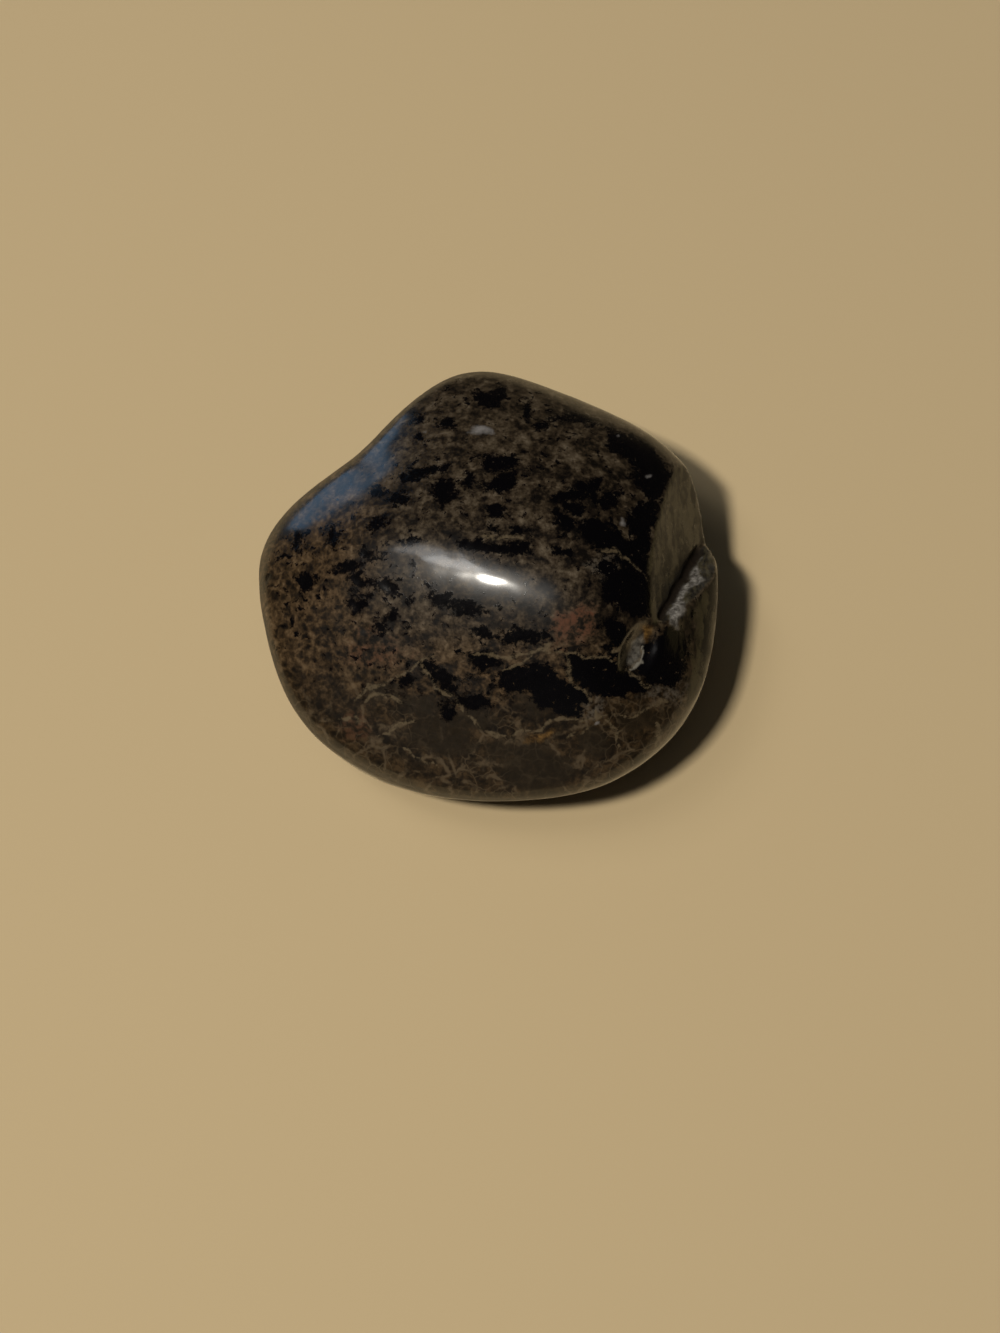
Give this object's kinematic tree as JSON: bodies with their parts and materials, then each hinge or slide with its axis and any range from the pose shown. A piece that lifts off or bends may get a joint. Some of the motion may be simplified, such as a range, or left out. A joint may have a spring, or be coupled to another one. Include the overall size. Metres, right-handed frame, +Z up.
{
  "type": "tumbled nuummite",
  "caption": "Tumbled pebble of dark nuummite: a polished, rounded lump with a low ridge, a hollow flank and a broken, ledged flank, resting flat.",
  "frame": {"origin": "on the flat that the stone rests on, under the middle of its box", "axes": "+Z up, +X along the longest extent and towards the broken flank, -Y towards the smooth front face"},
  "size_m": [0.032, 0.0306, 0.0175],
  "materials": {
    "stone": "polished"
  },
  "bodies": {
    "root": {"stone": "stone"}
  },
  "joints": []
}
